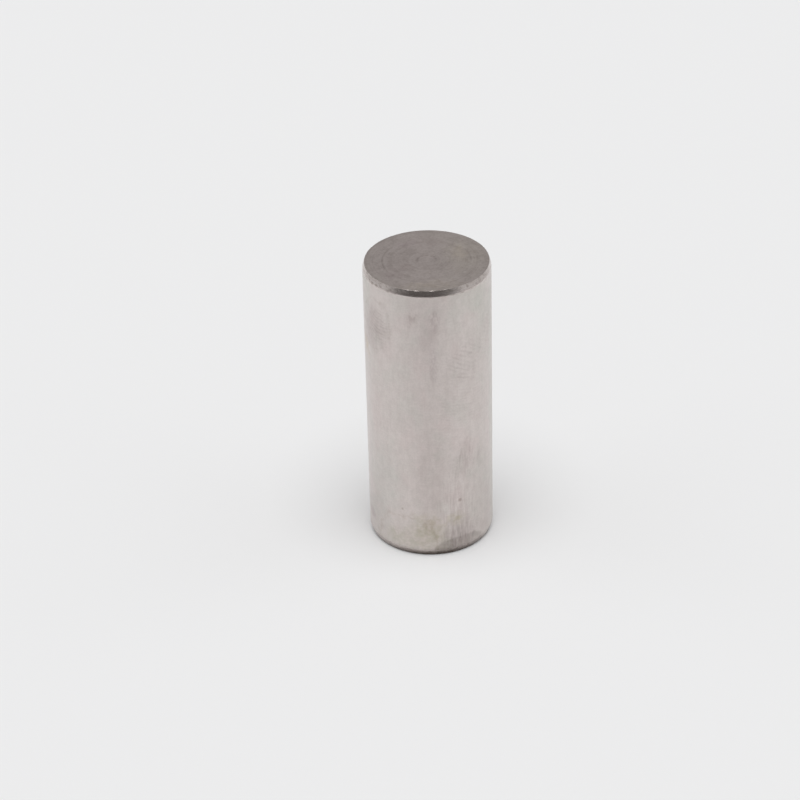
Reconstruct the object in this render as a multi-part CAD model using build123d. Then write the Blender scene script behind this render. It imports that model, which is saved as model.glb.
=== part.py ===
from build123d import *
from math import radians, tan
import os

# Crankpin of a built-up crankshaft, in millimetres. It is one solid pin of hardened steel:
# turned between centres, faced at both ends, and ground along its whole length. Its ends press
# into the two crank webs, and the big-end needle rollers run on the middle.
# The pin stands on its lower end face. The origin is the centre of that face, and +Z is the axis.

# Ground cylinder
PIN_DIAMETER = 26.0
PIN_LENGTH = 63.3  # over the two end faces

# Lead-in at each end: the steep taper that starts the pin squarely in the web's bore
LEAD_IN_LENGTH = 1.2  # along the axis
LEAD_IN_ANGLE = 17.6  # degrees from the axis
SHOULDER_RADIUS = 1.5  # blend from the ground cylinder into the taper
RIM_RADIUS = 0.12  # broken edge between the taper and the end face

# Turning ring on each end face: a shallow groove with a round bottom
RING_INSET = 4.35  # from the pin's surface to the middle of the groove
RING_WIDTH = 0.6
RING_DEPTH = 0.05

# Centre relief on each end face: a shallow dish, with the facing tool's pip left standing in it
RELIEF_DIAMETER = 4.2  # at the face
RELIEF_DEPTH = 0.08
RELIEF_WALL = 0.5  # width of the sloping wall
PIP_DIAMETER = 1.1
PIP_HEIGHT = 0.05  # above the floor of the dish, and so below the face

pin_radius = PIN_DIAMETER / 2
face_radius = pin_radius - LEAD_IN_LENGTH * tan(radians(LEAD_IN_ANGLE))


def ground_blank() -> Part:
    """The pin before its end faces are marked: a half outline turned about the axis."""
    outline = FilletPolyline(
        (0, 0, 0),
        (face_radius, 0, 0),
        (pin_radius, 0, LEAD_IN_LENGTH),
        (pin_radius, 0, PIN_LENGTH - LEAD_IN_LENGTH),
        (face_radius, 0, PIN_LENGTH),
        (0, 0, PIN_LENGTH),
        radius=(RIM_RADIUS, SHOULDER_RADIUS, SHOULDER_RADIUS, RIM_RADIUS),
    )
    centre_line = Line(outline @ 1, outline @ 0)
    return revolve(make_face([outline, centre_line]), Axis.Z)


def ring_cutter() -> Part:
    """A torus that dips below the face, which is the plane Z = 0, and leaves the turning ring."""
    tip_radius = (RING_WIDTH**2 / 4 + RING_DEPTH**2) / (2 * RING_DEPTH)
    return Pos(0, 0, tip_radius - RING_DEPTH) * Torus(pin_radius - RING_INSET, tip_radius)


def relief_cutter() -> Part:
    """The space of the centre relief below the plane Z = 0, with the pip left out of it."""
    relief_radius = RELIEF_DIAMETER / 2
    outline = Polyline(
        (0, 0, 0),
        (relief_radius, 0, 0),
        (relief_radius - RELIEF_WALL, 0, -RELIEF_DEPTH),
        (PIP_DIAMETER / 2, 0, -RELIEF_DEPTH),
        (0, 0, PIP_HEIGHT - RELIEF_DEPTH),
        close=True,
    )
    return revolve(make_face(outline), Axis.Z)


def crankpin() -> Part:
    """The finished pin: both end faces carry the same turning ring and centre relief."""
    upper_face = Plane((0, 0, PIN_LENGTH), x_dir=(1, 0, 0), z_dir=(0, 0, 1))
    lower_face = Plane((0, 0, 0), x_dir=(1, 0, 0), z_dir=(0, 0, -1))
    pin = ground_blank()
    for face in (upper_face, lower_face):
        pin -= face * ring_cutter()
        pin -= face * relief_cutter()
    pin.label = "crankpin"
    return pin


os.makedirs("parts", exist_ok=True)
export_step(crankpin(), "parts/crankpin.step")
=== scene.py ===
"""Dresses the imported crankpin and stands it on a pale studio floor.

The pin is one lathe surface, a profile turned about the Z axis, with a finish for each way the
steel was cut: ground along the side, turned on the lead-ins, faced on the ends. Everything is in
metres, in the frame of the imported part: the origin is the centre of the lower end face, +Z is
the pin's axis, and the camera looks along +Y.
"""
import logging
import math
from abc import ABC, abstractmethod
from collections.abc import Mapping
from dataclasses import dataclass, field
from enum import Enum

import bpy
import numpy as np
from mathutils import Matrix, Vector


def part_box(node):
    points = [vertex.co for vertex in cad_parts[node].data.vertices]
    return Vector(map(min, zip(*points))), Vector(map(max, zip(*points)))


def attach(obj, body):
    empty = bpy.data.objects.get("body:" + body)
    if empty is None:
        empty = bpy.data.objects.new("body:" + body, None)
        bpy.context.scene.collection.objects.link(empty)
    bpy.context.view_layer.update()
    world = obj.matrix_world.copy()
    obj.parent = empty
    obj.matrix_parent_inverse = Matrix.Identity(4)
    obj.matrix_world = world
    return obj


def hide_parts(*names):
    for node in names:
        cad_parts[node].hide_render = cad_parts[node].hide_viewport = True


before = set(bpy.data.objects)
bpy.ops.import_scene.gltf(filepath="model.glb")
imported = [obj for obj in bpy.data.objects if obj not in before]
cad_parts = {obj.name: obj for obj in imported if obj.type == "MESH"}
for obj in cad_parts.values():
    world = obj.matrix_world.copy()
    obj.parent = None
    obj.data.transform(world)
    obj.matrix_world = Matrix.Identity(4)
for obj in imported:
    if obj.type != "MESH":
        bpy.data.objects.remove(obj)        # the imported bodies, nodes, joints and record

MM = 0.001      # a millimetre, in metres
MIDDLE = 0.5    # the value about which a noise wanders
NODE = "crankpin"
BODY = "root"
Colour = tuple[float, float, float]
log = logging.getLogger(NODE)


# ---- Shader maths ----


class Value:
    """One output of a shader node, on which Python's operators add Math nodes."""

    def __init__(self, graph: "Graph", socket: bpy.types.NodeSocket) -> None:
        """Wraps a socket of a graph."""
        self.graph = graph
        self.socket = socket

    def __add__(self, other: "Value | float") -> "Value":
        """Sum."""
        return self.graph.math("ADD", self, other)

    def __radd__(self, other: float) -> "Value":
        """Sum with the number on the left."""
        return self.graph.math("ADD", other, self)

    def __sub__(self, other: "Value | float") -> "Value":
        """Difference."""
        return self.graph.math("SUBTRACT", self, other)

    def __rsub__(self, other: float) -> "Value":
        """Difference with the number on the left."""
        return self.graph.math("SUBTRACT", other, self)

    def __mul__(self, other: "Value | float") -> "Value":
        """Product."""
        return self.graph.math("MULTIPLY", self, other)

    def __rmul__(self, other: float) -> "Value":
        """Product with the number on the left."""
        return self.graph.math("MULTIPLY", other, self)

    def __truediv__(self, other: "Value | float") -> "Value":
        """Quotient."""
        return self.graph.math("DIVIDE", self, other)

    def __rtruediv__(self, other: float) -> "Value":
        """Quotient with the number on the left."""
        return self.graph.math("DIVIDE", other, self)

    def __neg__(self) -> "Value":
        """The value with its sign turned."""
        return self * -1.0

    def hypot(self, other: "Value") -> "Value":
        """Length of the right triangle's long side: the root of the sum of the squares."""
        return self.graph.math("SQRT", self * self + other * other)

    def sine(self) -> "Value":
        """Sine of an angle in radians."""
        return self.graph.math("SINE", self)

    def at_least(self, other: "Value | float") -> "Value":
        """The larger of the two."""
        return self.graph.math("MAXIMUM", self, other)

    def swing(self, reach: float) -> "Value":
        """How far a noise is off its middle, times a factor."""
        return (self - MIDDLE) * reach

    def step(self, start: float, end: float) -> "Value":
        """Smooth step: 0 at start, 1 at end, level beyond them. It falls where start > end.

        Args:
            start: the input that gives 0.
            end: the input that gives 1.

        Returns:
            The stepped value.
        """
        node = self.graph.add(
            "ShaderNodeMapRange",
            {"interpolation_type": "SMOOTHSTEP"},
            {"Value": self, "From Min": start, "From Max": end},
        )
        return Value(self.graph, node.outputs["Result"])


class Graph:
    """Builds the node tree of one material or world."""

    def __init__(self, tree: bpy.types.NodeTree) -> None:
        """Starts from an empty tree."""
        tree.nodes.clear()
        self.tree = tree

    def add(
        self,
        kind: str,
        settings: Mapping[str, object] | None = None,
        inputs: Mapping[str | int, object] | None = None,
    ) -> bpy.types.Node:
        """Adds one node, sets its settings first and then its sockets.

        Args:
            kind: the node's type, such as ShaderNodeTexNoise.
            settings: the node's own settings by name.
            inputs: a number, colour or link for each socket, by name or place.

        Returns:
            The new node.
        """
        node = self.tree.nodes.new(kind)
        for name, setting in (settings or {}).items():
            setattr(node, name, setting)
        for name, given in (inputs or {}).items():
            socket = node.inputs[name]
            if isinstance(given, Value):
                self.tree.links.new(given.socket, socket)
            else:
                socket.default_value = given
        return node

    def math(self, operation: str, *operands: "Value | float") -> Value:
        """Adds a Math node on one, two or three operands."""
        node = self.add("ShaderNodeMath", {"operation": operation}, dict(enumerate(operands)))
        return Value(self, node.outputs[0])

    def vector(self, x: "Value | float", y: "Value | float", z: "Value | float") -> Value:
        """Joins three values into a vector."""
        node = self.add("ShaderNodeCombineXYZ", None, {"X": x, "Y": y, "Z": z})
        return Value(self, node.outputs["Vector"])

    def split(self, vector: Value) -> tuple[Value, ...]:
        """Takes a vector apart into x, y and z."""
        node = self.add("ShaderNodeSeparateXYZ", None, {"Vector": vector})
        return tuple(Value(self, node.outputs[axis]) for axis in "XYZ")

    def coordinates(self, kind: str) -> Value:
        """The object's own coordinates, or the world's directions, by the socket's name."""
        return Value(self, self.add("ShaderNodeTexCoord").outputs[kind])

    def ray(self, kind: str) -> Value:
        """1 for a ray of that kind and 0 for any other, by the socket's name."""
        return Value(self, self.add("ShaderNodeLightPath").outputs[kind])

    def placed(self, place: Value, middle: Colour, scale: Colour, turn: float = 0.0) -> Value:
        """A place as seen from a middle, in axes of its own.

        Args:
            place: the vector.
            middle: the place that becomes the origin.
            scale: what counts as one, axis by axis.
            turn: angle about Z between the old axes and the new ones, in radians.

        Returns:
            The new vector.
        """
        node = self.add(
            "ShaderNodeMapping",
            {"vector_type": "TEXTURE"},
            {"Vector": place, "Location": middle, "Rotation": (0.0, 0.0, turn), "Scale": scale},
        )
        return Value(self, node.outputs["Vector"])

    def noise(self, place: Value, detail: float = 2.0, roughness: float = 0.5) -> Value:
        """Noise about 0.5 at a place that is already in units of the grain.

        Args:
            place: the vector at which the noise is read.
            detail: octaves on top of the first.
            roughness: the share of each octave in the one before.

        Returns:
            A value that wanders from about 0.2 to 0.8.
        """
        node = self.add(
            "ShaderNodeTexNoise",
            None,
            {"Vector": place, "Scale": 1.0, "Detail": detail, "Roughness": roughness},
        )
        return Value(self, node.outputs["Fac"])

    def tint(self, base: "Value | Colour", colour: Colour, amount: "Value | float") -> Value:
        """A colour seen through a film, which multiplies it by the film's own as it thickens."""
        return self.blend("MULTIPLY", base, colour, amount)

    def blend(
        self,
        kind: str,
        base: "Value | Colour",
        other: "Value | Colour",
        amount: "Value | float",
    ) -> Value:
        """Adds a Mix node for colours.

        Args:
            kind: Blender's name for the way of mixing.
            base: the colour at amount 0.
            other: the colour that is mixed in.
            amount: the factor, from 0 to 1.

        Returns:
            The mixed colour.
        """
        factor, first, second, result = 0, 6, 7, 2
        node = self.add(
            "ShaderNodeMix",
            {"data_type": "RGBA", "blend_type": kind},
            {factor: amount, first: opaque(base), second: opaque(other)},
        )
        return Value(self, node.outputs[result])

    def finish(self, kind: str, shader: bpy.types.NodeSocket) -> None:
        """Links the last shader to the tree's output node."""
        output = self.add(kind)
        self.tree.links.new(shader, output.inputs["Surface"])


def opaque(colour: "Value | Colour") -> "Value | tuple[float, ...]":
    """A colour with the alpha that a colour socket asks for; a link passes as it is."""
    return colour if isinstance(colour, Value) else (*colour, 1.0)


# ---- Stains ----


@dataclass(frozen=True)
class Cylinder:
    """Places on the pin's surface, in millimetres and radians.

    Attributes:
        place: the object's own coordinates, in metres.
        x: distance to the right of the axis.
        y: distance behind the axis.
        z: height over the lower end face.
        radius: distance from the axis.
        around: angle about the axis, 0 at the front and growing to the right.
    """

    place: Value
    x: Value
    y: Value
    z: Value
    radius: Value
    around: Value

    @classmethod
    def of(cls, graph: Graph) -> "Cylinder":
        """Reads the object's coordinates: the radius is the root of x squared plus y squared,
        and the angle is the arc tangent of x over minus y.

        Args:
            graph: the tree that the nodes go into.

        Returns:
            The place on the surface.
        """
        place = graph.coordinates("Object")
        x, y, z = (metres / MM for metres in graph.split(place))
        return cls(place, x, y, z, x.hypot(y), graph.math("ARCTAN2", x, -y))


@dataclass(frozen=True)
class Grain:
    """A noise in the metal itself, and what it does to the surface.

    Attributes:
        across: size of a grain round the pin, in millimetres, or out from the axis for rings.
        up: size of a grain along the pin, or to the right for rings.
        shift: moves the pattern, to get another one.
        detail: octaves on top of the first.
        rough: the share of each octave in the one before.
        tint: what the metal lets back where the tint is full.
        start: the noise at which the tint starts.
        full: the noise at which it is full.
        dulls: roughness that the whole noise adds.
        depth: depth of its relief, in metres.
        rings: whether it lies in rings about the axis, as on an end face.
    """

    across: float
    up: float
    shift: float = 0.0
    detail: float = 2.0
    rough: float = 0.5
    tint: Colour | None = None
    start: float = 0.36
    full: float = 0.64
    dulls: float = 0.0
    depth: float = 0.0
    rings: bool = False

    def noise(self, at: Cylinder) -> Value:
        """The noise over the surface.

        Args:
            at: the place on the surface.

        Returns:
            The noise, about its middle.
        """
        graph = at.place.graph
        if self.rings:
            place = graph.vector(at.radius / self.across, at.x / self.up, self.shift)
        else:
            middle = (0.0, 0.0, -self.shift * self.up * MM)
            scale = (self.across * MM, self.across * MM, self.up * MM)
            place = graph.placed(at.place, middle, scale)
        return graph.noise(place, self.detail, self.rough)


@dataclass(frozen=True)
class Texture:
    """How a film lies inside its outline.

    Attributes:
        across: size of its flecks from left to right, in millimetres.
        up: size of its flecks from bottom to top.
        ragged: how far the outline wanders, as a share of the stain's size.
        least: thickness between the flecks, from 0 to 1.
        soft: how slowly a fleck ends, as a part of the noise's range.
        fade: how slowly the outline ends, as a share of the stain's size.
    """

    across: float
    up: float
    ragged: float
    least: float
    soft: float
    fade: float = 0.475


class Mark(Enum):
    """What left a stain, or how a patch of painted shade lies, each with its texture."""

    PRINT = Texture(2.0, 0.8, 1.0, 0.30, 0.13)
    STREAK = Texture(0.36, 3.4, 1.3, 0.05, 0.13)
    FILM = Texture(1.1, 1.0, 1.7, 0.35, 0.17)
    SMEAR = Texture(0.55, 2.2, 0.9, 0.65, 0.15)
    WIPE = Texture(0.45, 2.4, 0.4, 0.70, 0.15, 0.07)
    SHEEN = Texture(2.6, 2.6, 1.2, 0.80, 0.20)
    SPECKS = Texture(0.42, 1.1, 1.1, 0.15, 0.15)
    SPOT = Texture(0.4, 0.4, 0.7, 1.0, 0.10)
    DRIED_EDGE = Texture(0.9, 0.9, 0.5, 0.2, 0.15)


@dataclass(frozen=True)
class Stain:
    """One stain or patch of painted shade, placed on the surface as it would lie if it were laid
    flat.

    Attributes:
        mark: what left it.
        across: its middle, in millimetres: round the pin from the front, to the right, or on an
            end face to the right of the axis.
        up: its middle, in millimetres: over the lower end, or behind the axis.
        width: half its width, in millimetres.
        tall: half its height, in millimetres.
        lean: how far it is turned, in degrees.
        tint: what its full film lets back, channel by channel.
        dulls: how much roughness the full film adds.
        ridge: distance between the ridges of a print, in millimetres, or 0 for none.
        bend: radius to which the ridges curve, in millimetres.

    The constants are the size of the outline's wander and the wander of a print's ridges, in
    millimetres; the place of the outline, half the line of a dried edge and the reach of the
    whole pattern, as shares of the stain's size; the film's share between two ridges; and the
    step to the flecks' own layer of the noise.
    """

    mark: Mark
    across: float
    up: float
    width: float
    tall: float
    lean: float = 0.0
    tint: Colour = (0.80, 0.78, 0.77)
    dulls: float = 0.05
    ridge: float = 0.0
    bend: float = 5.0

    OUTLINE = 2.2
    UNSTEADY = 1.1
    EDGE = 0.825
    LINE = 0.10
    FAR = 2.5
    VALLEY = 0.15
    LAYER = 3.0

    def axes(self, flat: Value, layer: float, scale: tuple[float, float], turn: float) -> Value:
        """The place seen from the stain's middle, turned, in units of the scale, on a layer."""
        middle = (self.across, self.up, -layer)
        return flat.graph.placed(flat, middle, (*scale, 1.0), turn)

    def amount(self, flat: Value) -> Value:
        """How thick the film is, from 0 to 1.

        The stain is an ellipse whose edge wanders with a noise and fades. Inside it the film is
        thick in flecks and thinner between them. A print's ridges are waves on parabolas a fixed
        distance apart. A dried edge is there only along the outline.

        Args:
            flat: the place on the flat surface, in millimetres.

        Returns:
            The film's thickness.
        """
        graph, texture, turn = flat.graph, self.mark.value, math.radians(self.lean)
        size = (self.FAR * self.width, self.FAR * self.tall)
        ball = graph.add(
            "ShaderNodeTexGradient",
            {"gradient_type": "SPHERICAL"},
            {"Vector": self.axes(flat, 0.0, size, turn)},
        )
        reach = (1.0 - Value(graph, ball.outputs["Fac"])) * self.FAR
        spots = self.axes(flat, self.up, (self.OUTLINE, self.OUTLINE), 0.0)
        wander = graph.noise(spots, detail=3.0, roughness=0.6)
        reach = reach + wander.swing(texture.ragged)
        if self.mark is Mark.DRIED_EDGE:
            inside = reach.step(1 - self.LINE, 1.0) * reach.step(1 + self.LINE, 1.0)
        else:
            inside = reach.step(self.EDGE + texture.fade, self.EDGE - texture.fade)
        size = (texture.across, texture.up)
        flecks = graph.noise(self.axes(flat, self.across + self.LAYER, size, turn), detail=1.5)
        fleck = flecks.step(MIDDLE - texture.soft, MIDDLE + texture.soft)
        thickness = texture.least + fleck * (1 - texture.least)
        if self.ridge:
            thickness = thickness * self.ridges(flat, wander, turn)
        return inside * thickness

    def ridges(self, flat: Value, wander: Value, turn: float) -> Value:
        """The ridges of a print, from thin to thick.

        Args:
            flat: the place on the flat surface, in millimetres.
            wander: the noise that bends them.
            turn: how far the print is turned, in radians.

        Returns:
            A share of the film's thickness.
        """
        along, over, _ = flat.graph.split(self.axes(flat, 0.0, (1.0, 1.0), turn))
        crest = over - along * along / (2 * self.bend) + wander * self.UNSTEADY
        waves = 0.5 + 0.5 * (crest * (math.tau / self.ridge)).sine()
        return self.VALLEY + waves * (1 - self.VALLEY)


# Oil wiped up from the foot on the right. It lies over both the side and the lower lead-in, so
# both finishes have it.
FOOT_SMUDGE = (
    Stain(Mark.WIPE, 6.3, 0.6, 7.6, 4.2, 0.0, (0.78, 0.775, 0.765)),
    Stain(Mark.WIPE, 2.6, 1.0, 2.7, 2.2, 0.0, (0.89, 0.89, 0.88)),
    Stain(Mark.SMEAR, 5.8, 3.4, 3.6, 5.0, 0.0, (0.87, 0.855, 0.86)),
)


@dataclass(frozen=True)
class FootPaintedShade:
    """Painted shade where the pin stands: a dark film for the contact shadow on the lower lead-in.

    Attributes:
        tint: what the full painted shade lets back.
        top: height at which it ends above, in millimetres.
        full: height under which it is full.
        back: thickness behind, as a share of that at the front.
        gather: power of the cosine with which it gathers at the front.
        grain: the noise that moves its top edge.
        wander: how far, in millimetres for the whole noise.
    """

    # Painted shade: the dark tint of the foot's contact shadow.
    tint: Colour = (0.22, 0.20, 0.18)
    top: float = 2.00
    full: float = 0.20
    back: float = 0.20
    gather: float = 2.2
    grain: Grain = Grain(2.4, 2.4, 31.0)
    wander: float = 0.5

    def over(self, at: Cylinder, colour: Value) -> Value:
        """The colour with the painted shade on.

        Its thickness is a smooth step down from its top edge, which wanders a little. It is full
        at the front, which faces the camera, and falls off round the pin with the cosine of the
        angle, to a power.

        Args:
            at: the place on the surface.
            colour: the colour under the film.

        Returns:
            The colour seen through it.
        """
        graph = at.place.graph
        height = at.z + self.grain.noise(at).swing(self.wander)
        facing = graph.math("POWER", (-at.y / at.radius).at_least(0.0), self.gather)
        share = self.back + facing * (1 - self.back)
        # The dark tint is painted shade: the foot's contact shadow, fullest at the front.
        return graph.tint(colour, self.tint, height.step(self.top, self.full) * share)


# ---- Finishes ----


@dataclass(frozen=True)
class Steel:
    """Hardened bearing steel, the base of every finish.

    Attributes:
        colour: what the bare metal reflects straight on.
        roughness: of the plain surface.
        stretch: how far the cut's lines draw a highlight out across them.
        turn: direction of that stretch, as a share of a full turn.
    """

    colour: Colour = (0.655, 0.596, 0.571)
    roughness: float = 0.30
    stretch: float = 0.45
    turn: float = 0.25

    def shader(
        self,
        graph: Graph,
        colour: Value,
        roughness: Value,
        bumps: list[tuple[Value, float]],
    ) -> None:
        """Ends the material: one metal shader with its bumps in a chain.

        Args:
            graph: the tree that the nodes go into.
            colour: the reflected colour over the surface.
            roughness: the roughness over the surface.
            bumps: pairs of a height from 0 to 1 and its full depth in metres.
        """
        normal = None
        for height, depth in bumps:
            inputs = {"Height": height, "Distance": depth, "Strength": 1.0}
            if normal is not None:
                inputs["Normal"] = normal
            normal = Value(graph, graph.add("ShaderNodeBump", None, inputs).outputs["Normal"])
        metal = graph.add(
            "ShaderNodeBsdfPrincipled",
            None,
            {
                "Base Color": colour,
                "Roughness": roughness,
                "Metallic": 1.0,
                "Anisotropic": self.stretch,
                "Anisotropic Rotation": self.turn,
                "Normal": normal,
            },
        )
        graph.finish("ShaderNodeOutputMaterial", metal.outputs["BSDF"])


@dataclass(frozen=True)
class Finish(ABC):
    """A way in which the steel was cut, with what lies on it now.

    Attributes:
        name: of the material.
        steel: the metal under it.
        grains: the noises in the metal.
        stains: what handling has left, and patches of painted shade.
    """

    name: str
    steel: Steel
    grains: tuple[Grain, ...]
    stains: tuple[Stain, ...]

    @abstractmethod
    def flat(self, at: Cylinder) -> Value:
        """The surface laid out flat for the stains, in millimetres."""

    @abstractmethod
    def films(self, at: Cylinder, colour: Value) -> Value:
        """The colour under the films and painted shade that follow the pin's shape."""

    def material(self) -> bpy.types.Material:
        """Lays the grains into the steel, and the stains, films and painted shade over them.

        Returns:
            The material.
        """
        material = bpy.data.materials.new(self.name)
        material.use_nodes = True
        graph = Graph(material.node_tree)
        at = Cylinder.of(graph)
        colour, roughness, bumps = self.steel.colour, self.steel.roughness, []
        for grain in self.grains:
            noise = grain.noise(at)
            if grain.tint is not None:
                colour = graph.tint(colour, grain.tint, noise.step(grain.start, grain.full))
            if grain.dulls:
                roughness = noise.swing(grain.dulls) + roughness
            if grain.depth:
                bumps.append((noise, grain.depth))
        flat = self.flat(at)
        for stain in self.stains:
            film = stain.amount(flat)
            colour = graph.tint(colour, stain.tint, film)
            roughness = film * stain.dulls + roughness
        self.steel.shader(graph, self.films(at, colour), roughness, bumps)
        return material


@dataclass(frozen=True)
class SideFinish(Finish):
    """A finish of the side or of the lead-ins, under the painted shade at the foot.

    Attributes:
        pin_radius: radius of the ground side, in millimetres.
        foot: the painted shade at the lower end.
    """

    pin_radius: float = field(kw_only=True)
    foot: FootPaintedShade = FootPaintedShade()

    def flat(self, at: Cylinder) -> Value:
        """The way round the pin and the height."""
        return at.place.graph.vector(at.around * self.pin_radius, at.z, 0.0)

    def films(self, at: Cylinder, colour: Value) -> Value:
        """The colour under the painted shade at the foot."""
        return self.foot.over(at, colour)


@dataclass(frozen=True)
class GroundSide(SideFinish):
    """The ground side: fine lines round the pin, under prints, wiped oil and a dried film.

    Its grains are the wheel's slow waves and the lines on them, grit, short strokes along the
    pin, dull patches, and clouds that are greener where the noise is high and redder where it is
    low. Its stains are broad sheens first, and then single marks, roughly from the top down; some
    are painted shade, in a strip up the front and on the lower left and right of the side.
    """

    name: str = "ground_side"
    steel: Steel = Steel(colour=(0.694, 0.635, 0.609), roughness=0.315)
    grains: tuple[Grain, ...] = (
        Grain(30.0, 0.6, 7.0, depth=0.8e-6),
        Grain(2.2, 0.24, 0.0, 1.0, 0.5, (0.982, 0.982, 0.982), 0.65, 0.35, depth=0.30e-6),
        Grain(0.36, 0.42, 17.0, tint=(0.950, 0.948, 0.947)),
        Grain(0.60, 5.0, 23.0, 1.0, tint=(0.978, 0.976, 0.975)),
        Grain(1.5, 1.7, 3.0, 1.0, tint=(0.962, 0.960, 0.958), dulls=0.04),
        Grain(4.5, 5.5, 5.0, tint=(0.982, 1.0, 0.992), start=0.52, full=0.68, dulls=0.06),
        Grain(4.5, 5.5, 5.0, tint=(1.0, 0.982, 0.986), start=0.48, full=0.32),
    )
    stains: tuple[Stain, ...] = (
        Stain(Mark.SHEEN, 9.5, 61.0, 5.5, 5.0, 0.0, (0.960, 1.0, 0.980)),
        Stain(Mark.SHEEN, 14.0, 53.0, 5.0, 9.0, 0.0, (0.980, 1.0, 0.990)),
        Stain(Mark.SHEEN, 18.5, 30.0, 3.2, 45.0, 0.0, (0.970, 1.0, 0.985)),
        Stain(Mark.SHEEN, -11.4, 17.0, 5.5, 9.0, 0.0, (0.970, 1.0, 0.995)),
        Stain(Mark.SHEEN, -16.6, 60.0, 2.6, 6.0, 0.0, (0.960, 1.0, 0.980)),
        # Painted shade: a faint darker strip up the whole front, where the side faces the camera.
        Stain(Mark.SMEAR, -0.4, 32.0, 6.0, 60.0, 0.0, (0.985, 0.978, 0.978)),
        Stain(Mark.SMEAR, -0.2, 20.0, 3.4, 13.0, 0.0, (0.93, 0.92, 0.92)),
        # Painted shade: the lower right and lower left of the side darker, where they reflect the
        # shaded floor by the foot.
        Stain(Mark.SHEEN, 12.0, 11.0, 5.0, 13.0, 0.0, (0.94, 0.95, 0.945)),
        Stain(Mark.SHEEN, -12.8, 7.0, 4.0, 6.0, 0.0, (0.95, 0.97, 0.965)),
        Stain(Mark.SMEAR, -13.6, 51.8, 4.6, 5.2, -14.0, (0.87, 0.855, 0.855)),
        Stain(Mark.PRINT, -11.8, 52.8, 3.6, 5.6, -10.0, (0.88, 0.865, 0.865), ridge=0.75, bend=6.0),
        Stain(Mark.DRIED_EDGE, -12.8, 53.0, 4.4, 6.0, -14.0, (0.94, 0.93, 0.92)),
        Stain(Mark.FILM, -16.8, 46.5, 1.2, 2.6, 20.0, (0.95, 0.92, 0.82)),
        Stain(Mark.SPECKS, -3.4, 57.0, 1.3, 2.6, 0.0, (0.86, 0.84, 0.84)),
        Stain(Mark.SPECKS, 1.2, 56.8, 1.1, 2.8, 0.0, (0.84, 0.81, 0.82)),
        Stain(Mark.SPECKS, 0.8, 46.0, 0.9, 4.4, 0.0, (0.88, 0.86, 0.87)),
        Stain(Mark.SMEAR, -0.2, 53.0, 2.0, 5.0, 0.0, (0.96, 0.945, 0.95)),
        Stain(Mark.PRINT, 7.4, 45.4, 4.4, 4.8, -26.0, (0.88, 0.87, 0.87), ridge=0.90, bend=16.0),
        Stain(Mark.PRINT, 13.0, 49.0, 3.8, 8.0, -32.0, (0.97, 0.965, 0.965), ridge=0.85, bend=18.0),
        Stain(Mark.PRINT, 6.5, 37.0, 8.0, 8.0, -14.0, (0.965, 0.955, 0.955), ridge=0.70, bend=30.0),
        Stain(Mark.STREAK, 7.0, 22.8, 2.4, 5.0, -4.0, (0.90, 0.885, 0.885)),
        Stain(Mark.SMEAR, 7.4, 22.8, 2.4, 4.4, -6.0, (0.94, 0.93, 0.93)),
        Stain(Mark.STREAK, 10.8, 21.0, 1.6, 3.4, -10.0, (0.93, 0.92, 0.92)),
        Stain(Mark.STREAK, 5.4, 9.5, 4.8, 11.0, 0.0, (0.91, 0.895, 0.895)),
        *FOOT_SMUDGE,
        Stain(Mark.STREAK, 6.4, 4.6, 4.0, 3.6, 0.0, (0.85, 0.84, 0.84)),
        Stain(Mark.FILM, -0.8, 6.6, 4.2, 4.0, 0.0, (0.90, 0.895, 0.82)),
        Stain(Mark.FILM, -3.4, 3.0, 8.0, 4.6, 0.0, (0.87, 0.89, 0.83)),
        Stain(Mark.FILM, -0.4, 8.2, 1.3, 1.1, -20.0, (0.86, 0.84, 0.78)),
        Stain(Mark.FILM, 5.4, 8.6, 2.0, 1.5, 0.0, (0.88, 0.87, 0.76)),
        Stain(Mark.DRIED_EDGE, -5.9, 1.5, 7.0, 8.0, 0.0, (0.92, 0.90, 0.88)),
        Stain(Mark.SMEAR, -16.2, 5.6, 1.8, 1.4, -20.0, (0.88, 0.84, 0.86)),
        Stain(Mark.SPOT, 6.0, 13.0, 0.42, 0.48, 0.0, (0.72, 0.68, 0.66)),
        Stain(Mark.SPOT, -6.4, 11.0, 0.30, 0.30, 0.0, (0.80, 0.76, 0.74)),
    )


@dataclass(frozen=True)
class TurnedTaper(SideFinish):
    """The turned lead-ins: coarser lines round the pin, with dark scuffs from handling."""

    name: str = "turned_taper"
    steel: Steel = Steel(roughness=0.20, stretch=0.3)
    grains: tuple[Grain, ...] = (
        Grain(5.0, 0.12, 0.0, 2.0, 0.6, (0.86, 0.84, 0.83), 0.6, 0.35, depth=0.6e-6),
        Grain(0.9, 0.5, 5.0, 4.0, 0.6, (0.66, 0.64, 0.62), 0.48, 0.70, dulls=0.30),
    )
    stains: tuple[Stain, ...] = FOOT_SMUDGE


@dataclass(frozen=True)
class OilAndShadeBand:
    """A dark film in a band about the axis of an end face, for oil and for painted shade.

    Attributes:
        middle: radius of the band's middle, in millimetres.
        reach: how far it spreads to either side.
        patches: the grain that breaks it up.
        limits: the noise at which it is thinnest, and at which it is full.
        least: its share where it is thinnest.
        tint: what the full film lets back.
    """

    middle: float
    reach: float
    patches: Grain
    limits: tuple[float, float]
    least: float = 0.0
    tint: Colour = (0.80, 0.785, 0.78)

    def over(self, at: Cylinder, colour: Value, share: Value) -> Value:
        """The colour with the film on, which is full in the band's middle.

        Args:
            at: the place on the face.
            colour: the colour under the film.
            share: how much of it lies there, from 0 to 1.

        Returns:
            The colour seen through it.
        """
        inner = at.radius.step(self.middle - self.reach, self.middle)
        outer = at.radius.step(self.middle + self.reach, self.middle)
        full = self.patches.noise(at).step(*self.limits)
        thick = self.least + full * (1 - self.least)
        return colour.graph.tint(colour, self.tint, inner * outer * thick * share)


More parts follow.
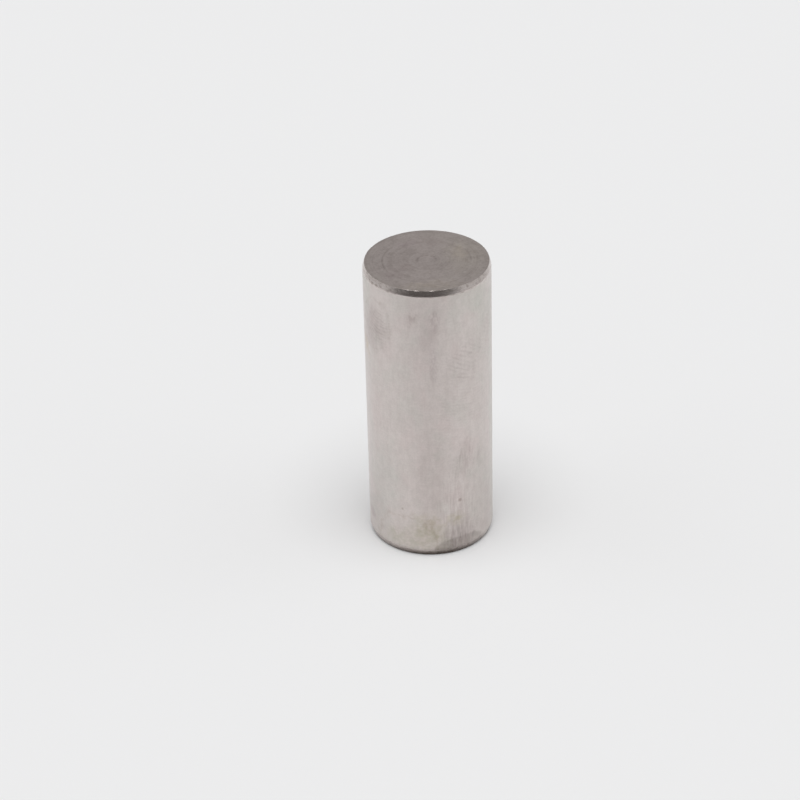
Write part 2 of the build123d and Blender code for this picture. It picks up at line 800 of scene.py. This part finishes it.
# Dull clouds and grit on an end face. They also break up the oil that lies there.
END_CLOUD = Grain(2.2, 2.2, 9.0, 3.0, 0.6, (0.90, 0.893, 0.89), 0.42, 0.66)
END_GRIT = Grain(0.5, 0.5, 0.0, 3.0, 0.7, (0.865, 0.855, 0.85), 0.42, 0.68, dulls=0.12)


@dataclass(frozen=True)
class FacedEnd(Finish):
    """The faced ends: the tool's feed lines in rings about the axis, under grit, thin stains
    and painted shade.

    Its grains are the feed lines, the bands over which the cut changes, dull clouds and grit.
    Its stains are those of the upper end, and the hidden lower end has the same ones.

    Attributes:
        ring: painted shade on the turning ring's walls, dark at the left and right.
        gather: power of the cosine with which it gathers to the left and right.
        relief: oil along the wall of the centre relief, with painted shade on its far half.
        back: how far behind the axis that film is gone, and is full, in millimetres.
    """

    name: str = "faced_end"
    # Painted shade: the end faces' steel is darker than the side's, so that the upper face renders
    # darker.
    steel: Steel = Steel(colour=(0.630, 0.571, 0.547), roughness=0.42, stretch=0.12)
    grains: tuple[Grain, ...] = (
        Grain(
            0.16, 20.0, 0.0, 2.0, 0.6, (0.92, 0.915, 0.91), 0.65, 0.35, depth=1.0e-6, rings=True
        ),
        Grain(0.9, 20.0, 4.0, 2.0, 0.6, (0.945, 0.94, 0.935), 0.42, 0.58, dulls=0.06, rings=True),
        END_CLOUD,
        END_GRIT,
    )
    stains: tuple[Stain, ...] = (
        # Painted shade: the left and middle of the upper face darker than its right side.
        Stain(Mark.SHEEN, -3.8, 0.0, 10.5, 14.0, 0.0, (0.935, 0.925, 0.935)),
        Stain(Mark.SHEEN, 7.6, 2.0, 4.6, 8.0, 0.0, (0.995, 1.0, 0.975)),
        Stain(Mark.FILM, -6.6, -5.2, 2.4, 2.0, 30.0, (0.88, 0.86, 0.87)),
        Stain(Mark.FILM, -4.2, -2.4, 1.5, 1.3, 0.0, (0.89, 0.87, 0.87)),
        Stain(Mark.FILM, -3.8, 6.8, 2.6, 1.8, 35.0, (0.90, 0.88, 0.90)),
        Stain(Mark.FILM, 0.6, 7.4, 3.4, 2.6, 0.0, (0.90, 0.89, 0.89)),
        Stain(Mark.FILM, 6.6, 3.2, 1.8, 4.0, 10.0, (1.0, 0.99, 0.95)),
        Stain(Mark.FILM, 1.4, -9.8, 6.5, 1.5, 5.0, (1.0, 0.99, 0.95)),
        Stain(Mark.FILM, 0.0, -11.2, 7.0, 2.2, 0.0, (0.87, 0.87, 0.85)),
    )
    ring: OilAndShadeBand = OilAndShadeBand(8.95, 0.30, END_CLOUD, (0.36, 0.56))
    gather: float = 6.0
    relief: OilAndShadeBand = OilAndShadeBand(1.95, 0.45, END_GRIT, (0.35, 0.60), least=0.4)
    back: tuple[float, float] = (-1.6, 0.6)

    def flat(self, at: Cylinder) -> Value:
        """The places to the right of the axis and behind it."""
        return at.place.graph.vector(at.x, at.y, 0.0)

    def films(self, at: Cylinder, colour: Value) -> Value:
        """The colour under the painted shade on the ring, and the oil and painted shade in the
        relief.

        Args:
            at: the place on the face.
            colour: the colour under both.

        Returns:
            The colour seen through them.
        """
        # The ring's dark arcs, gathered to the left and right, are painted shade.
        cosine = at.x.at_least(-at.x) / at.radius
        colour = self.ring.over(at, colour, at.place.graph.math("POWER", cosine, self.gather))
        # Full behind the axis: painted shade that dims the far wall's highlight, over the oil.
        return self.relief.over(at, colour, at.y.step(*self.back))


def put(name: str, data: bpy.types.ID) -> bpy.types.Object:
    """Makes an object of the scene.

    Args:
        name: what it is called.
        data: its mesh, lamp or camera.

    Returns:
        The object.
    """
    thing = bpy.data.objects.new(name, data)
    bpy.context.scene.collection.objects.link(thing)
    return thing


# ---- The pin ----


class Zone(Enum):
    """The parts of the profile, each with a finish; the value is its material's place."""

    GROUND = 0
    TAPER = 1
    FACED = 2


@dataclass(frozen=True)
class Bruises:
    """Small dents from handling, along one edge of the pin.

    Attributes:
        seed: starts the random draws of this edge.
        worst: angle at which the edge has been knocked most, in radians.
        count: how many there are.
        crowd: how many more there are about that angle.
        crowd_spread: how far they lie round it, in radians.
        down: their place along the taper, down from its middle, in metres.
        down_spread: how far they lie round that place.
        widest: half width of the largest, in metres.
        narrowest: that of the smallest, as a share of it.
        deepest: depth of the deepest, in metres.
        shallowest: root of the depth of the shallowest, as a share of it.
        squat: length along the taper, as a share of the width.
    """

    seed: int
    worst: float
    count: int = 26
    crowd: int = 18
    crowd_spread: float = 0.16
    down: float = -0.35 * MM
    down_spread: float = 0.35 * MM
    widest: float = 0.55 * MM
    narrowest: float = 0.25
    deepest: float = 0.036 * MM
    shallowest: float = 0.15
    squat: float = 0.7

    def depth(self, angle: np.ndarray, along: np.ndarray, girth: float) -> np.ndarray:
        """Depth of the dents: the sum of a bell curve for each one.

        Args:
            angle: angle about the axis, in radians.
            along: distance down the taper from its middle, in metres.
            girth: radius that turns an angle into a distance.

        Returns:
            The depth at each point of the grid.
        """
        rng = np.random.default_rng(self.seed)
        spread = rng.uniform(-math.pi, math.pi, self.count)
        crowd = rng.normal(self.worst, self.crowd_spread, self.crowd)
        where = np.concatenate([spread, crowd])
        down = rng.normal(self.down, self.down_spread, where.size)
        width = self.widest * rng.uniform(self.narrowest, 1.0, where.size)
        deep = self.deepest * rng.uniform(self.shallowest, 1.0, where.size) ** 2
        across = angle_between(angle[..., None], where) * girth / width
        up = (along[..., None] - down) / (width * self.squat)
        return (deep * np.exp(-(across**2) - up**2)).sum(-1)


def angle_between(angle: np.ndarray, middle: np.ndarray) -> np.ndarray:
    """The difference of two angles, brought between minus and plus half a turn."""
    return (angle - middle + math.pi) % math.tau - math.pi


@dataclass(frozen=True)
class Crankpin:
    """The pin as one closed lathe surface.

    Attributes:
        diameter: of the ground side, in metres.
        length: over the end faces.
        taper_length: of each lead-in, along the axis.
        taper_angle: of each lead-in, in radians from the axis.
        shoulder: radius of the blend from the side into a lead-in.
        upper_rim: radius of the edge between the upper lead-in and its end face.
        lower_rim: radius of the same edge at the foot, which the pin has worn by standing on it.
        worn_rim: what a worn spot adds to that radius.
        worn: angles of the worn spots, in radians.
        worn_spread: angle from a worn spot's middle to where it has faded, in radians.
        dent_fade: share of the lead-in over which the dents fade out towards the side.
        ring_inset: from the side to the middle of the turning ring.
        ring_width: of the turning ring.
        ring_depth: of the turning ring.
        relief: radius of the centre relief.
        relief_floor: radius of its flat floor.
        relief_depth: of its floor.
        pip: radius of the pip on its floor.
        pip_height: of the pip over its floor.
        feed_wave: distance between the waves that the tool's feed leaves on a face.
        feed_depth: of these waves.
        columns: points round the axis.

    The constants are the rows of points along each stretch of the profile, and the side of the
    sheet on which the surface is laid out flat and the gap between its strips.
    """

    diameter: float
    length: float
    taper_length: float = 1.2 * MM
    taper_angle: float = math.radians(17.6)
    shoulder: float = 1.5 * MM
    upper_rim: float = 0.01 * MM
    lower_rim: float = 0.25 * MM
    worn_rim: float = 0.10 * MM
    worn: tuple[float, ...] = (-2.6, -2.1, -1.25, -0.31, -0.19, 0.06, 1.1, 1.7, 2.9)
    worn_spread: float = 0.028
    dent_fade: float = 0.3
    ring_inset: float = 4.35 * MM
    ring_width: float = 0.6 * MM
    ring_depth: float = 0.022 * MM
    relief: float = 2.1 * MM
    relief_floor: float = 1.6 * MM
    relief_depth: float = 0.05 * MM
    pip: float = 0.55 * MM
    pip_height: float = 0.015 * MM
    feed_wave: float = 0.95 * MM
    feed_depth: float = 0.0012 * MM
    columns: int = 320

    FACE_ROWS = 105
    RIM_ROWS = 6
    TAPER_ROWS = 11
    SHOULDER_ROWS = 6
    SIDE_ROWS = 41
    SHEET = 94.0 * MM
    GAP = 1.0 * MM

    @property
    def radius(self) -> float:
        """Radius of the ground side."""
        return self.diameter / 2

    def finishes(self) -> list[Finish]:
        """The finish of each zone, in the order of the zones' values."""
        girth = self.radius / MM
        return [GroundSide(pin_radius=girth), TurnedTaper(pin_radius=girth), FacedEnd()]

    def face_marks(self, radius: np.ndarray) -> np.ndarray:
        """Depth of the marks that facing leaves, below the end face, at a distance from the axis.

        The ring is a parabola. The relief is level inside, with a straight wall and a cone for
        the pip. The feed is a shallow cosine.

        Args:
            radius: distances from the axis.

        Returns:
            The depth at each distance, never less than zero.
        """
        ring_at = self.radius - self.ring_inset
        ring = self.ring_depth * (1 - ((radius - ring_at) / (self.ring_width / 2)) ** 2)
        floor = self.relief_depth - self.pip_height * (1 - radius / self.pip).clip(0)
        wall = self.relief_depth * (self.relief - radius) / (self.relief - self.relief_floor)
        feed = self.feed_depth * (0.5 - 0.5 * np.cos(math.tau * radius / self.feed_wave))
        return np.maximum.reduce([ring, np.minimum(floor, wall), feed])

    def end_rows(
        self, angle: np.ndarray, bruises: Bruises, rim: float
    ) -> list[tuple[Zone, np.ndarray]]:
        """The profile of one end, from its centre to the start of the ground side.

        A row holds, for each angle, the distance from the axis and the depth below the end face.
        The face runs out to the rim, where its marks end. The rim and the shoulder are arcs that
        touch what they join, and the taper is straight between them. The dents push the rim and
        the taper in. A worn spot widens the rim by a bell curve of the angle.

        Args:
            angle: the angles round the axis.
            bruises: the dents of this end's edge.
            rim: radius of the edge between the lead-in and the face, before wear.

        Returns:
            The zone and the rows of each stretch, in order.
        """
        turn = math.pi / 2 - self.taper_angle
        mouth = self.radius - self.taper_length * math.tan(self.taper_angle)
        off = angle_between(angle[:, None], np.array(self.worn)) / self.worn_spread
        broken = rim + self.worn_rim * np.exp(-(off**2)).sum(-1)
        face_edge = mouth - broken * math.tan(turn / 2)
        shoulder_run = self.shoulder * math.tan(self.taper_angle / 2)

        share = np.linspace(0, 1, self.FACE_ROWS + 1)[1:, None]
        face = share * face_edge
        faced = np.stack([face, self.face_marks(face) * (share < 1)], -1)

        bend = np.linspace(0, turn, self.RIM_ROWS + 1)[1:, None]
        arc = np.stack([face_edge + broken * np.sin(bend), broken * (1 - np.cos(bend))], -1)

        out = self.radius - shoulder_run * math.sin(self.taper_angle)
        down = self.taper_length - shoulder_run * math.cos(self.taper_angle)
        part = np.linspace(0, 1, self.TAPER_ROWS + 1)[1:, None, None]
        taper = arc[-1] + (np.array([out, down]) - arc[-1]) * part

        lean = np.linspace(self.taper_angle, 0, self.SHOULDER_ROWS + 1)[1:, None]
        lean = np.broadcast_to(lean, (self.SHOULDER_ROWS, self.columns))
        out = self.radius - self.shoulder + self.shoulder * np.cos(lean)
        down = self.taper_length + shoulder_run - self.shoulder * np.sin(lean)
        shoulder = np.stack([out, down], -1)

        edge = np.concatenate([arc, taper])
        dent = bruises.depth(
            np.broadcast_to(angle, edge.shape[:2]),
            edge[..., 1] - self.taper_length / 2,
            self.radius,
        )
        dent *= ((1 - edge[..., 1] / self.taper_length) / self.dent_fade).clip(0, 1)
        edge[..., 0] -= dent * math.cos(self.taper_angle)
        edge[..., 1] += dent * math.sin(self.taper_angle)
        return [(Zone.FACED, faced), (Zone.TAPER, edge), (Zone.TAPER, shoulder)]

    def profile(self, angle: np.ndarray) -> tuple[np.ndarray, np.ndarray, np.ndarray]:
        """The whole profile, from the middle of the upper face to the middle of the lower one.

        A strip of faces takes the zone of its lower row, so the first row of the lower shoulder,
        where the ground side ends, counts as ground.

        Args:
            angle: the angles round the axis.

        Returns:
            The distances from the axis and the heights, one row for each point of the profile,
            and the zone's value of each row.
        """
        radii, heights, zones = [], [], []
        upper = self.end_rows(angle, Bruises(seed=11, worst=-0.52), self.upper_rim)
        lower = self.end_rows(angle, Bruises(seed=23, worst=2.4), self.lower_rim)
        for zone, rows in upper:
            radii.append(rows[..., 0])
            heights.append(self.length - rows[..., 1])
            zones += [zone.value] * len(rows)
        share = np.linspace(0, 1, self.SIDE_ROWS + 1)[1:-1, None]
        top, bottom = heights[-1][-1], lower[-1][1][-1, :, 1]
        side = top + (bottom - top) * share
        radii.append(np.full_like(side, self.radius))
        heights.append(side)
        zones += [Zone.GROUND.value] * len(side)
        side_ends = len(zones)
        for zone, rows in reversed(lower):
            radii.append(rows[::-1, :, 0])
            heights.append(rows[::-1, :, 1])
            zones += [zone.value] * len(rows)
        zones[side_ends] = Zone.GROUND.value
        return np.concatenate(radii), np.concatenate(heights), np.array(zones)

    def build(self) -> bpy.types.Object:
        """Makes the mesh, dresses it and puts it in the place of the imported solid.

        Returns:
            The piece.
        """
        angle = np.linspace(0, math.tau, self.columns, endpoint=False)
        radii, heights, zones = self.profile(angle)
        rows = len(zones)
        grid = np.stack([radii * np.sin(angle), -radii * np.cos(angle), heights], -1)
        sunk = float(self.face_marks(np.zeros(1))[0])
        poles = [(0.0, 0.0, self.length - sunk), (0.0, 0.0, sunk)]
        corners = np.concatenate([grid.reshape(-1, 3), poles])

        row, column = np.mgrid[0 : rows - 1, 0 : self.columns]
        after = (column + 1) % self.columns
        here, below = row * self.columns, (row + 1) * self.columns
        quads = np.stack([here + column, below + column, below + after, here + after], -1)
        first, last = rows * self.columns, rows * self.columns + 1
        ring = np.arange(self.columns)
        onward = (ring + 1) % self.columns
        low = (rows - 1) * self.columns
        top_fan = np.stack([np.full_like(ring, first), ring, onward], -1)
        bottom_fan = np.stack([np.full_like(ring, last), low + onward, low + ring], -1)
        faces = quads.reshape(-1, 4).tolist() + top_fan.tolist() + bottom_fan.tolist()

        mesh = bpy.data.meshes.new("ground_pin")
        mesh.from_pydata(corners.tolist(), [], faces)
        faced = np.full(self.columns, Zone.FACED.value)
        zone = np.concatenate([np.repeat(zones[1:], self.columns), faced, faced])
        mesh.polygons.foreach_set("material_index", zone.astype(np.int32))
        mesh.polygons.foreach_set("use_smooth", np.ones(len(faces), dtype=bool))
        self.unroll(mesh, radii, heights)
        mesh.validate()
        mesh.update()

        piece = put("ground_pin", mesh)
        for finish in self.finishes():
            mesh.materials.append(finish.material())
        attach(piece, BODY)
        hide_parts(NODE)
        return piece

    def unroll(self, mesh: bpy.types.Mesh, radii: np.ndarray, heights: np.ndarray) -> None:
        """Lays the surface out flat for the baked maps, as three strips of one width.

        The width is the way round the pin, so lines round it stay level. The height is the
        distance along the profile. The side is one strip, and each end face is another, whose
        edge at the axis is drawn out to the full width.

        Args:
            mesh: the mesh, whose quads come first, row by row, and then the two fans.
            radii: distances from the axis, by row and column.
            heights: heights, by row and column.
        """
        gap = self.GAP
        rows = len(radii)
        mean_r, mean_z = radii.mean(1), heights.mean(1)
        steps = np.hypot(np.diff(mean_r), np.diff(mean_z))
        along = np.concatenate([[mean_r[0]], mean_r[0] + np.cumsum(steps)])
        face_strips = self.FACE_ROWS - 1
        strip = np.zeros(rows - 1, dtype=int)
        strip[face_strips:] = 1
        strip[rows - 1 - face_strips :] = 2
        edge = np.linspace(0, math.tau * self.radius, self.columns + 1)

        left = np.broadcast_to(edge[:-1], (rows - 1, self.columns))
        right = np.broadcast_to(edge[1:], (rows - 1, self.columns))
        offset = gap * (1 + strip)[:, None]
        upper = np.broadcast_to(along[:-1, None] + offset, left.shape)
        lower = np.broadcast_to(along[1:, None] + offset, left.shape)
        quads = np.stack([left, upper, left, lower, right, lower, right, upper], -1)
        middle = (edge[:-1] + edge[1:]) / 2
        start, end = np.full(self.columns, gap), np.full(self.columns, along[-1] + 3 * gap)
        first, last = np.full(self.columns, along[0] + gap), end
        close = np.full(self.columns, along[-1] + mean_r[-1] + 3 * gap)
        top_fan = np.stack([middle, start, edge[:-1], first, edge[1:], first], -1)
        bottom_fan = np.stack([middle, close, edge[1:], last, edge[:-1], last], -1)
        flat = np.concatenate([quads.ravel(), top_fan.ravel(), bottom_fan.ravel()])
        layer = mesh.uv_layers.new(name="OFBake")
        layer.uv.foreach_set("vector", (flat / self.SHEET).astype(np.float32))


# ---- The studio ----


@dataclass(frozen=True)
class Studio:
    """A pale floor in a light tent, open towards the camera and lit from both sides and above.

    Attributes:
        floor_colour: of the floor itself.
        wall: light from the tent's cloth.
        skirt: light from the cloth at the level of the table.
        panel: light from the lit panels to the left and right.
        mouth: light from the tent's open front.
        mouth_turn: how far to the left of the camera the opening's middle is, in radians.
        box_light: what the soft box adds to a level white sheet, where 1 is white.
        box_spread: angle across the soft box, in radians.
        box_lean: how far in front of the pin the soft box hangs, as an angle, in radians.
        table: distance from the pin to the table's edge, in metres.
        fade: half the width over which the table's edge shows in the steel, in metres.
        span: half the floor's width, in metres.
        background: what the camera sees behind it all.

    The constants are pairs for a smooth step. MOUTH_SIDES and PANEL_SIDES are cosines of the
    angle round the pin from the middle of the opening or of a panel. The others are sines of
    the angle over the horizon.
    """

    floor_colour: Colour = (0.843, 0.845, 0.850)
    wall: Colour = (0.385, 0.38, 0.375)
    skirt: Colour = (0.62, 0.62, 0.62)
    panel: Colour = (0.80, 0.81, 0.82)
    mouth: Colour = (0.12, 0.114, 0.112)
    mouth_turn: float = math.radians(6.0)
    box_light: float = 0.52
    box_spread: float = math.radians(42.0)
    box_lean: float = math.radians(10.0)
    table: float = 0.26
    fade: float = 0.075
    span: float = 4.0
    background: Colour = (0.847, 0.849, 0.855)

    MOUTH_SIDES = (0.25, 0.98)
    MOUTH_TOP = (0.50, 0.18)
    PANEL_SIDES = (0.75, 0.95)
    PANEL_FOOT = (0.15, 0.35)
    PANEL_TOP = (0.95, 0.80)
    SKIRT_TOP = (0.35, 0.05)

    def build_floor(self) -> bpy.types.Object:
        """A level sheet at the height of the lower end face.

        To a glossy ray it ends at the table's edge, so that the steel shows the tent beyond it.

        Returns:
            The floor.
        """
        side = self.span
        corners = [(-side, -side, 0), (side, -side, 0), (side, side, 0), (-side, side, 0)]
        mesh = bpy.data.meshes.new("floor")
        mesh.from_pydata(corners, [], [(0, 1, 2, 3)])
        floor = put("floor", mesh)
        material = bpy.data.materials.new("floor_paper")
        material.use_nodes = True
        graph = Graph(material.node_tree)
        x, y, _ = graph.split(graph.coordinates("Object"))
        gone = x.hypot(y).step(self.table - self.fade, self.table + self.fade)
        gone = gone * graph.ray("Is Glossy Ray")
        paper = graph.add("ShaderNodeBsdfDiffuse", None, {"Color": opaque(self.floor_colour)})
        nothing = graph.add("ShaderNodeBsdfTransparent")
        shaders = [Value(graph, node.outputs["BSDF"]) for node in (paper, nothing)]
        mixed = graph.add("ShaderNodeMixShader", None, dict(enumerate([gone, *shaders])))
        graph.finish("ShaderNodeOutputMaterial", mixed.outputs["Shader"])
        mesh.materials.append(material)
        return floor

    def build_tent(self) -> bpy.types.World:
        """The tent as the world, drawn by direction, with a pale background for the camera.

        Returns:
            The world.
        """
        world = bpy.data.worlds.new("light_tent")
        bpy.context.scene.world = world
        world.use_nodes = True
        graph = Graph(world.node_tree)
        x, y, up = graph.split(graph.coordinates("Generated"))
        level = x.hypot(y)
        ahead = -y * math.cos(self.mouth_turn) - x * math.sin(self.mouth_turn)
        front = (ahead / level).step(*self.MOUTH_SIDES) * up.step(*self.MOUTH_TOP)
        lit = (x.at_least(-x) / level).step(*self.PANEL_SIDES)
        lit = lit * up.step(*self.PANEL_FOOT) * up.step(*self.PANEL_TOP)
        tent = graph.blend("MIX", self.wall, self.skirt, up.step(*self.SKIRT_TOP))
        tent = graph.blend("MIX", tent, self.mouth, front)
        tent = graph.blend("MIX", tent, self.panel, lit)
        light = graph.blend("MIX", tent, self.background, graph.ray("Is Camera Ray"))
        sky = graph.add("ShaderNodeBackground", None, {"Color": light, "Strength": 1.0})
        graph.finish("ShaderNodeOutputWorld", sky.outputs["Background"])
        return world

    def build_soft_box(self) -> bpy.types.Object:
        """A wide, even light from overhead, as far off as the sun, so that no place is darker.

        Returns:
            The lamp.
        """
        lamp = bpy.data.lights.new("soft_box", "SUN")
        lamp.energy = self.box_light * math.pi
        lamp.angle = self.box_spread
        holder = put("soft_box", lamp)
        holder.rotation_euler = (self.box_lean, 0.0, 0.0)
        return holder


@dataclass(frozen=True)
class StudioCamera:
    """A long lens that looks down on the pin.

    Attributes:
        lens: focal length, in millimetres, on a sensor 36 mm wide.
        looks_down: angle below the horizon, in radians.
        roll: turn about the line of sight, in radians.
        distance: to the foot of the pin, along the line of sight, in radii of the pin.
        right: the foot's distance to the right of the line of sight, in radii.
        below: the foot's distance under the line of sight, in radii.
    """

    lens: float = 123.46
    looks_down: float = math.radians(31.89)
    roll: float = math.radians(-1.469)
    distance: float = 44.947
    right: float = 0.5182
    below: float = 1.9728

    def build(self, pin_radius: float) -> bpy.types.Object:
        """Makes the scene's camera.

        The camera's axes are a level camera's, turned down and then rolled. Its place is the
        foot of the pin less the foot's place in those axes.

        Args:
            pin_radius: radius of the ground side, in metres.

        Returns:
            The camera.
        """
        level = Matrix.Rotation(math.pi / 2, 3, "X")
        down = Matrix.Rotation(-self.looks_down, 3, "X")
        turn = down @ level @ Matrix.Rotation(self.roll, 3, "Z")
        foot = Vector((self.right, -self.below, -self.distance)) * pin_radius
        data = bpy.data.cameras.new("studio_camera")
        data.lens = self.lens
        camera = put("studio_camera", data)
        camera.matrix_world = Matrix.Translation(-(turn @ foot)) @ turn.to_4x4()
        bpy.context.scene.camera = camera
        return camera


def main() -> None:
    """Builds the pin and the studio round it, and reports each piece."""
    logging.basicConfig(level=logging.INFO, format="%(name)s: %(message)s")
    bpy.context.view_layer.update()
    low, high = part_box(NODE)
    bpy.context.scene.view_settings.view_transform = "Standard"

    pin = Crankpin(diameter=high.x - low.x, length=high.z - low.z)
    camera = StudioCamera().build(pin.radius)
    log.info("%s: lens %.1f mm", camera.name, camera.data.lens)
    piece = pin.build()
    log.info("%s: %d faces", piece.name, len(piece.data.polygons))
    studio = Studio()
    floor = studio.build_floor()
    world = studio.build_tent()
    lamp = studio.build_soft_box()
    log.info("%s, %s and %s: in place", floor.name, world.name, lamp.name)


if __name__ == "__main__":
    main()
